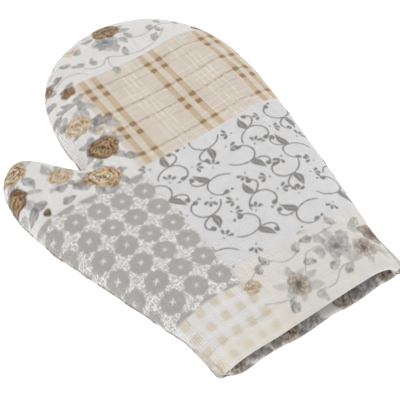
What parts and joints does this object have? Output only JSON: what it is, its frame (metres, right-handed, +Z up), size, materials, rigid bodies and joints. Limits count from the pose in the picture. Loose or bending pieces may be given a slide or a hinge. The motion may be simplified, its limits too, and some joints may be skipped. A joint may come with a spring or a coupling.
{
  "type": "oven mitt",
  "caption": "Padded cotton oven mitt with a thumb, lying flat: printed outer cloth, wadding and lining in each half, with an open hemmed cuff.",
  "frame": {"origin": "middle of the bounding box at the level of the surface that the mitt lies on", "axes": "+Y from the cuff to the fingertips, +Z up out of the palm side, thumb towards -X"},
  "size_m": [0.215, 0.31, 0.0223],
  "materials": {
    "printed_cotton": "matt plain-weave canvas with a patchwork-style print",
    "wadding": "soft polyester batting",
    "lining_cotton": "matt plain-weave cotton",
    "thread": "spun polyester thread"
  },
  "bodies": {
    "root": {"outer_front": "printed_cotton", "outer_back": "printed_cotton", "wadding_front": "wadding", "wadding_back": "wadding", "lining_front": "lining_cotton", "lining_back": "lining_cotton", "outer_seam_thread": "thread", "lining_seam_thread": "thread", "hem_stitches": "thread"}
  },
  "joints": []
}
